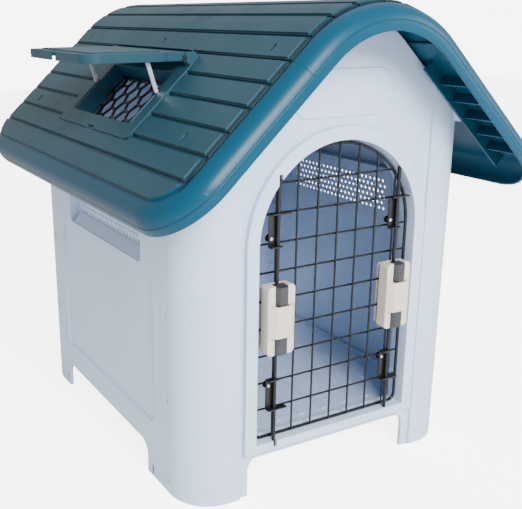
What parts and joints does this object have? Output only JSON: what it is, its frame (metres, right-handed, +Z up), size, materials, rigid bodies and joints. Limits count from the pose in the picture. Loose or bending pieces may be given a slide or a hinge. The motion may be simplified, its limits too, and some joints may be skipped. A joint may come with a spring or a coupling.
{
  "type": "plastic dog kennel",
  "caption": "Plastic pet kennel: gabled cabin on corner feet, arched wire door with sliding bolts, plank-pattern roof with a vented skylight hatch under a propped lid.",
  "frame": {"origin": "centre of the bounding box at ground level, under the cabin", "axes": "+Z up, -Y out through the door, +Y along the ridge towards the back, +X to the right of someone facing the back wall from the door"},
  "size_m": [0.6048, 0.735, 0.6645],
  "materials": {
    "white_plastic": "satin moulded polypropylene",
    "teal_plastic": "satin moulded polypropylene",
    "black_plastic": "matt moulded plastic",
    "black_wire": "black coated steel wire",
    "beige_plastic": "satin moulded plastic",
    "grey_plastic": "matt moulded plastic",
    "steel": "bright zinc plated"
  },
  "bodies": {
    "house": {"front_panel": "white_plastic", "back_panel": "white_plastic", "side_panel_left": "white_plastic", "side_panel_right": "white_plastic", "floor_panel": "white_plastic", "vent_grille_left": "white_plastic", "vent_grille_right": "white_plastic", "wall_clips_left": "white_plastic", "wall_clips_right": "white_plastic", "roof_ridge": "teal_plastic", "roof_left": "teal_plastic", "roof_right": "teal_plastic", "hatch_frame": "teal_plastic", "hatch_grille": "black_plastic", "hatch_hinge_pin": "steel"},
    "door": {"door_frame_wire": "black_wire", "door_upright_wires": "black_wire", "door_level_wires": "black_wire", "latch_housing_left": "beige_plastic", "latch_housing_right": "beige_plastic", "latch_back_left": "beige_plastic", "latch_back_right": "beige_plastic", "latch_spring_upper_left": "steel", "latch_spring_lower_left": "steel", "latch_spring_upper_right": "steel", "latch_spring_lower_right": "steel", "latch_screws": "steel", "guide_upper_left": "black_plastic", "guide_lower_left": "black_plastic", "guide_upper_right": "black_plastic", "guide_lower_right": "black_plastic", "guide_rivets": "steel"},
    "bolt_upper_left": {"knob_upper_left": "grey_plastic", "rod_upper_left": "black_wire"},
    "bolt_lower_left": {"knob_lower_left": "grey_plastic", "rod_lower_left": "black_wire"},
    "bolt_upper_right": {"knob_upper_right": "grey_plastic", "rod_upper_right": "black_wire"},
    "bolt_lower_right": {"knob_lower_right": "grey_plastic", "rod_lower_right": "black_wire"},
    "hatch_lid": {"lid_panel": "teal_plastic"},
    "stay_front_arm": {"stay_front": "steel"},
    "stay_rear_arm": {"stay_rear": "steel"}
  },
  "joints": [
    {"name": "door_swing", "type": "hinge", "parent": "house", "child": "door", "pos_m": [0.1, -0.279, 0.2605], "axis": [0, 0, 1], "range_deg": [0, 110]},
    {"name": "bolt_upper_left_slide", "type": "slide", "parent": "door", "child": "bolt_upper_left", "axis": [0, 0, -1], "range_m": [0, 0.0125], "stiffness_N_per_m": 200, "springref_m": -0.01, "deforming": ["latch_spring_upper_left"]},
    {"name": "bolt_lower_left_slide", "type": "slide", "parent": "door", "child": "bolt_lower_left", "axis": [0, 0, 1], "range_m": [0, 0.0125], "stiffness_N_per_m": 200, "springref_m": -0.01, "deforming": ["latch_spring_lower_left"]},
    {"name": "bolt_upper_right_slide", "type": "slide", "parent": "door", "child": "bolt_upper_right", "axis": [0, 0, -1], "range_m": [0, 0.0125], "stiffness_N_per_m": 200, "springref_m": -0.01, "deforming": ["latch_spring_upper_right"]},
    {"name": "bolt_lower_right_slide", "type": "slide", "parent": "door", "child": "bolt_lower_right", "axis": [0, 0, 1], "range_m": [0, 0.0125], "stiffness_N_per_m": 200, "springref_m": -0.01, "deforming": ["latch_spring_lower_right"]},
    {"name": "lid_hinge", "type": "hinge", "parent": "house", "child": "hatch_lid", "pos_m": [-0.15043, -0.013, 0.59348], "axis": [0, 1, 0], "range_deg": [-43, 0]},
    {"name": "stay_front_fold", "type": "hinge", "parent": "hatch_lid", "child": "stay_front_arm", "pos_m": [-0.20643, -0.119, 0.59248], "axis": [0, 1, 0], "range_deg": [0, 107.5]},
    {"name": "stay_rear_fold", "type": "hinge", "parent": "hatch_lid", "child": "stay_rear_arm", "pos_m": [-0.20643, 0.093, 0.59248], "axis": [0, 1, 0], "range_deg": [0, 107.5]}
  ],
  "couplings": [
    {"joint": "stay_front_fold", "follows": "lid_hinge", "ratio": -2.4954},
    {"joint": "stay_rear_fold", "follows": "lid_hinge", "ratio": -2.4954}
  ]
}
